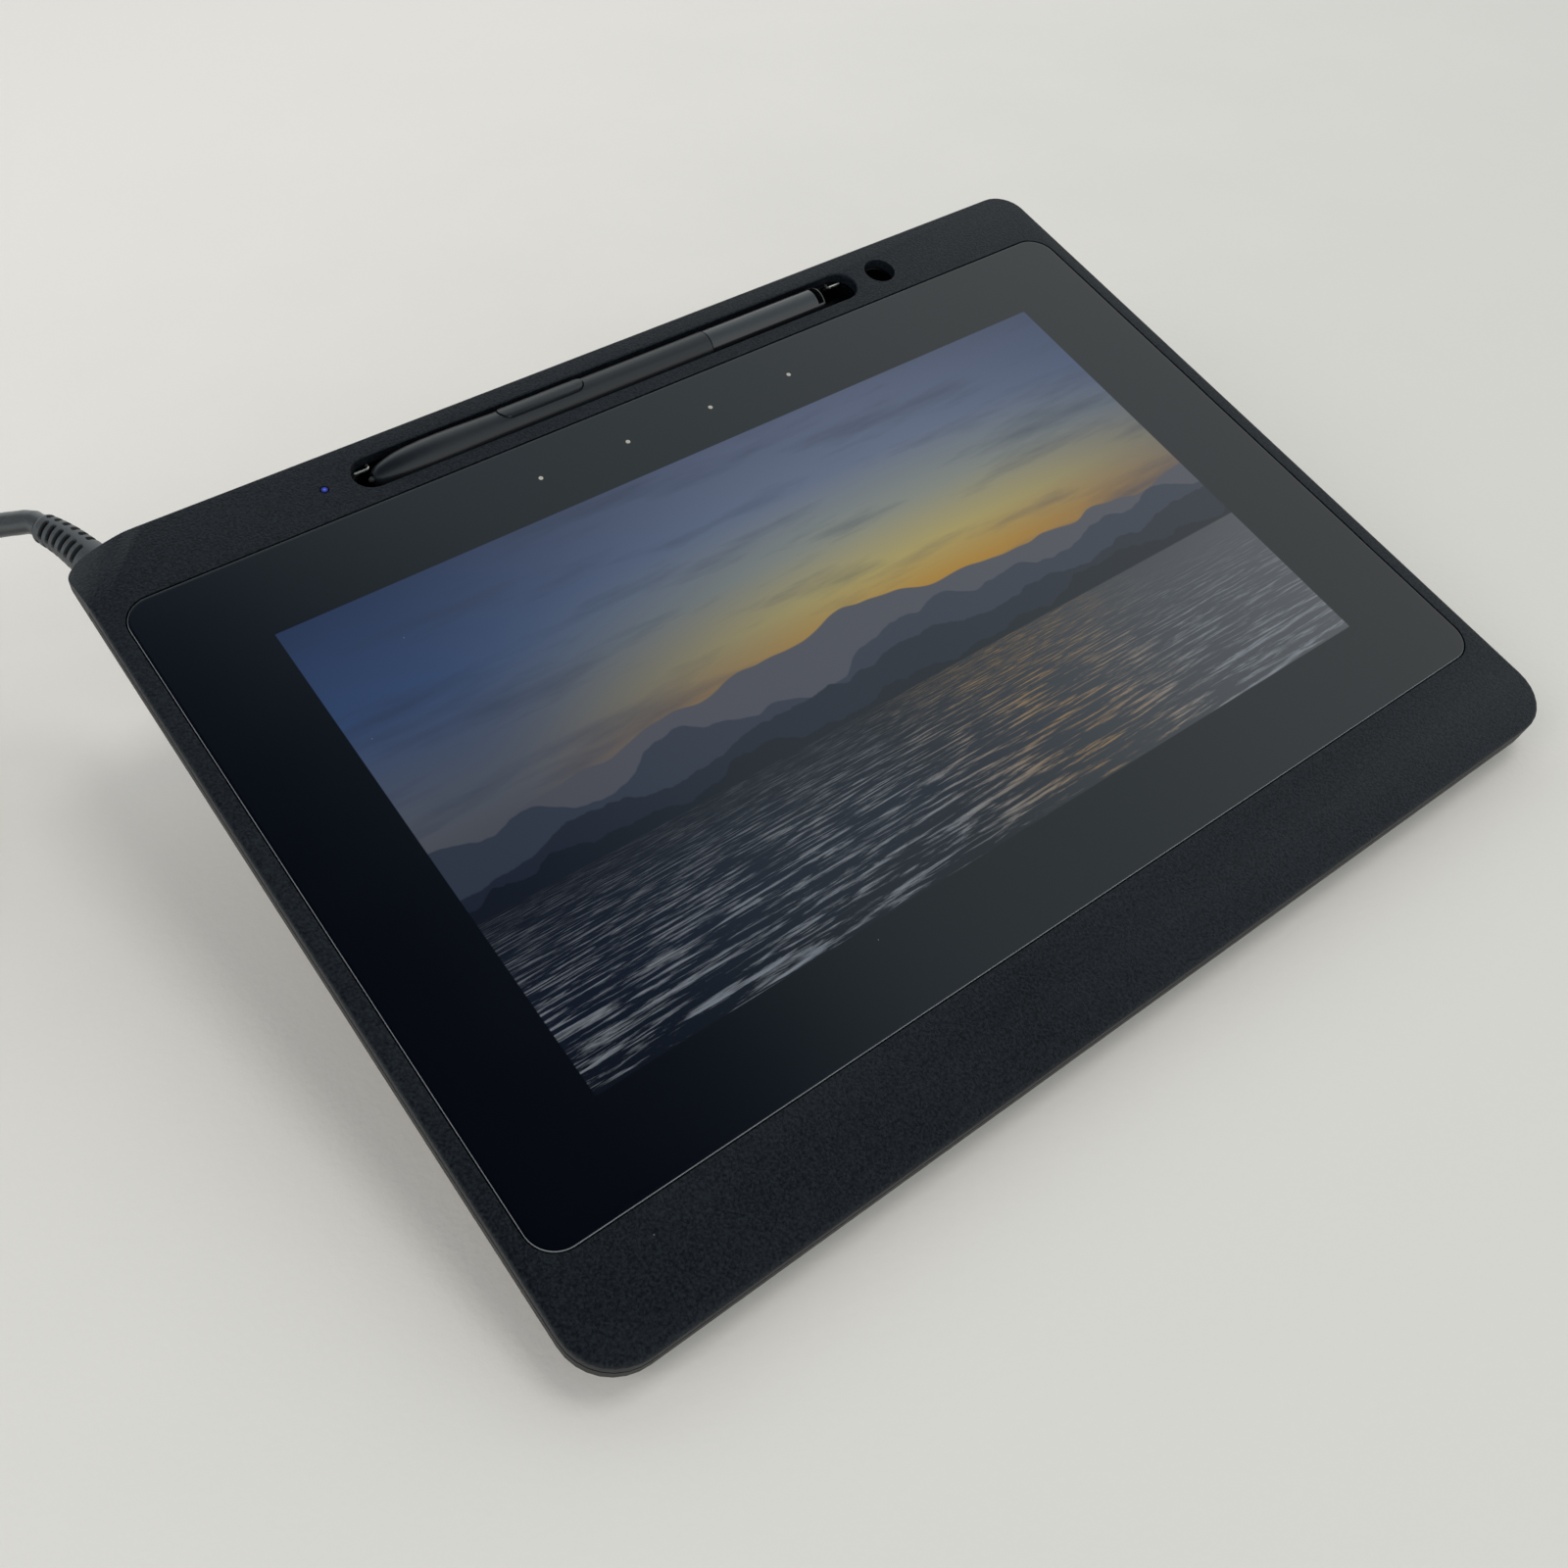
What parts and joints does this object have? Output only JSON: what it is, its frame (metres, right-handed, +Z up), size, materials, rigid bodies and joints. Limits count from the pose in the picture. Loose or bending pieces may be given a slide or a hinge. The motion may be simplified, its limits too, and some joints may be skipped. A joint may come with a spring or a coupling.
{
  "type": "signature pad",
  "caption": "Desk signature pad: a flat pen display in a slim black case on a fixed wedge stand, with its pen in a tray behind the glass and a captive lead with a plug.",
  "frame": {"origin": "middle of the pad's footprint on the table, under its feet; the free lead is left out of the box that this is the middle of", "axes": "+X to the user's right along the front edge, +Y away from the user, +Z up"},
  "size_m": [0.412, 0.2749, 0.0654],
  "materials": {
    "blue_lens": "lit lens",
    "brass": "turned",
    "cable_jacket": "smooth PVC",
    "circuit_board": "solder mask",
    "copper_winding": "enamelled wire",
    "etched_glass": "etched, anti-glare",
    "flex_film": "polyimide film",
    "foam": "adhesive foam",
    "foot_rubber": "moulded",
    "gloss_abs": "polished",
    "light_guide": "acrylic",
    "nib_plastic": "hard plastic",
    "pale_lens": "diffusing",
    "pen_rubber": "soft-touch coat",
    "screen_panel": "LCD panel, lit",
    "steel": "nickel plated",
    "textured_abs": "fine texture, satin",
    "underside_abs": "fine texture",
    "zinc_sheet": "zinc plated sheet"
  },
  "bodies": {
    "case": {"backlight_unit": "light_guide", "bottom_cover": "underside_abs", "cable_coil": "cable_jacket", "cable_cover": "underside_abs", "cable_cover_screw": "steel", "cable_run": "cable_jacket", "cable_tail": "cable_jacket", "cable_tie": "foot_rubber", "case_screw_1": "steel", "case_screw_2": "steel", "case_screw_3": "steel", "case_screw_4": "steel", "case_screw_5": "steel", "case_screw_6": "steel", "cover_glass": "etched_glass", "digitizer_board": "circuit_board", "front_foot_left": "foot_rubber", "front_foot_right": "foot_rubber", "glass_gasket": "foam", "inner_lead": "cable_jacket", "key_board": "circuit_board", "key_light_1": "pale_lens", "key_light_2": "pale_lens", "key_light_3": "pale_lens", "key_light_4": "pale_lens", "lcd_panel": "screen_panel", "lock_plate": "steel", "main_board": "circuit_board", "mount_insert_1": "brass", "mount_insert_2": "brass", "mount_insert_3": "brass", "mount_insert_4": "brass", "panel_frame": "zinc_sheet", "pen_stand_cup": "gloss_abs", "pen_tray": "gloss_abs", "plug_body": "cable_jacket", "plug_shell": "steel", "rear_foot_left": "foot_rubber", "rear_foot_right": "foot_rubber", "sensor_flex": "flex_film", "shield_plate": "zinc_sheet", "stand_base": "underside_abs", "stand_screw_1": "steel", "stand_screw_2": "steel", "stand_screw_3": "steel", "stand_screw_4": "steel", "status_board": "circuit_board", "status_lens": "blue_lens", "strain_relief": "cable_jacket", "tether_pin_left": "steel", "tether_pin_right": "steel", "top_cover": "textured_abs"},
    "pen": {"pen_barrel": "pen_rubber", "pen_cap": "pen_rubber", "pen_coil": "copper_winding", "pen_board": "circuit_board"},
    "nib": {"pen_nib": "nib_plastic"},
    "switch": {"side_switch": "pen_rubber"},
    "button": {"power_button": "gloss_abs"}
  },
  "joints": [
    {"name": "pen_lift", "type": "slide", "parent": "case", "child": "pen", "axis": [0, -0.2588, 0.9659], "range_m": [0, 0.03]},
    {"name": "nib_press", "type": "slide", "parent": "pen", "child": "nib", "axis": [1, 0, 0], "range_m": [0, 0.0005], "stiffness_N_per_m": 1500},
    {"name": "side_switch_rock", "type": "hinge", "parent": "pen", "child": "switch", "pos_m": [-0.0237, 0.09242, 0.06337], "axis": [0, -0.9986, 0.0523], "range_deg": [-2, 2], "stiffness_Nm_per_rad": 0.05},
    {"name": "power_press", "type": "slide", "parent": "case", "child": "button", "axis": [0, -0.9659, -0.2588], "range_m": [0, 0.0008], "stiffness_N_per_m": 1500}
  ]
}
